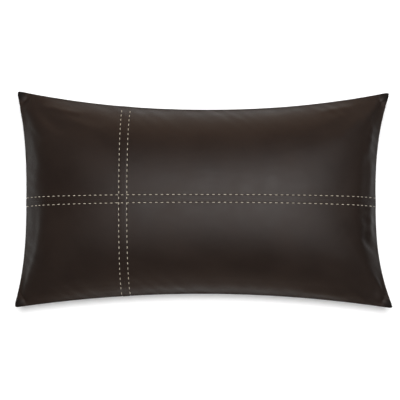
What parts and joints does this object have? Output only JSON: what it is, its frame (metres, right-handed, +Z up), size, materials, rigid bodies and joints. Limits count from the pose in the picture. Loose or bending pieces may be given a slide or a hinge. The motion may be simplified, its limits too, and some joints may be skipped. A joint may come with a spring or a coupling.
{
  "type": "throw pillow",
  "caption": "Rectangular lumbar throw pillow: dark leather cover of four front panels with contrast topstitching, hidden zip and fibre-filled insert.",
  "frame": {"origin": "centre of the pillow's footprint, on the surface it lies on", "axes": "+X along the long side, towards the wide panels; +Y across, away from the zipped edge; +Z up, out of the stitched front face"},
  "size_m": [0.6296, 0.3614, 0.1596],
  "materials": {
    "leather": "smooth semi-matte aniline-dyed hide, dark espresso brown",
    "contrast_thread": "heavy waxed polyester thread, pale beige",
    "seam_thread": "bonded sewing thread, dark brown",
    "zip_tape": "woven polyester tape, dark brown",
    "zip_coil": "polyester monofilament coil, dark brown",
    "zip_metal": "antique-brass finish",
    "ticking": "plain-weave unbleached cotton",
    "fibre_fill": "loose white polyester fibre",
    "label": "blank woven satin label"
  },
  "bodies": {
    "cushion": {"front_panel_upper_left": "leather", "front_panel_upper_right": "leather", "front_panel_lower_left": "leather", "front_panel_lower_right": "leather", "back_panel": "leather", "topstitch_upright_left": "contrast_thread", "topstitch_upright_right": "contrast_thread", "topstitch_level_upper": "contrast_thread", "topstitch_level_lower": "contrast_thread", "side_seam_thread": "seam_thread", "zipper_tape_front": "zip_tape", "zipper_tape_back": "zip_tape", "zipper_coil_front": "zip_coil", "zipper_coil_back": "zip_coil", "zipper_top_stop_front": "zip_metal", "zipper_top_stop_back": "zip_metal", "zipper_bottom_stop": "zip_metal", "insert_ticking_front": "ticking", "insert_ticking_back": "ticking", "insert_filling": "fibre_fill", "insert_care_label": "label"},
    "slider": {"zipper_slider": "zip_metal"},
    "pull_tab": {"zipper_pull_tab": "zip_metal"}
  },
  "joints": [
    {"name": "slider_travel", "type": "hinge", "parent": "cushion", "child": "slider", "pos_m": [-0.00417, -2.28349, 0.062], "axis": [0, 0, 1], "range_deg": [0, 12.1]},
    {"name": "pull_tab_swing", "type": "hinge", "parent": "slider", "child": "pull_tab", "pos_m": [0.22102, -0.16865, 0.062], "axis": [0, 0, 1], "range_deg": [0, 170]}
  ]
}
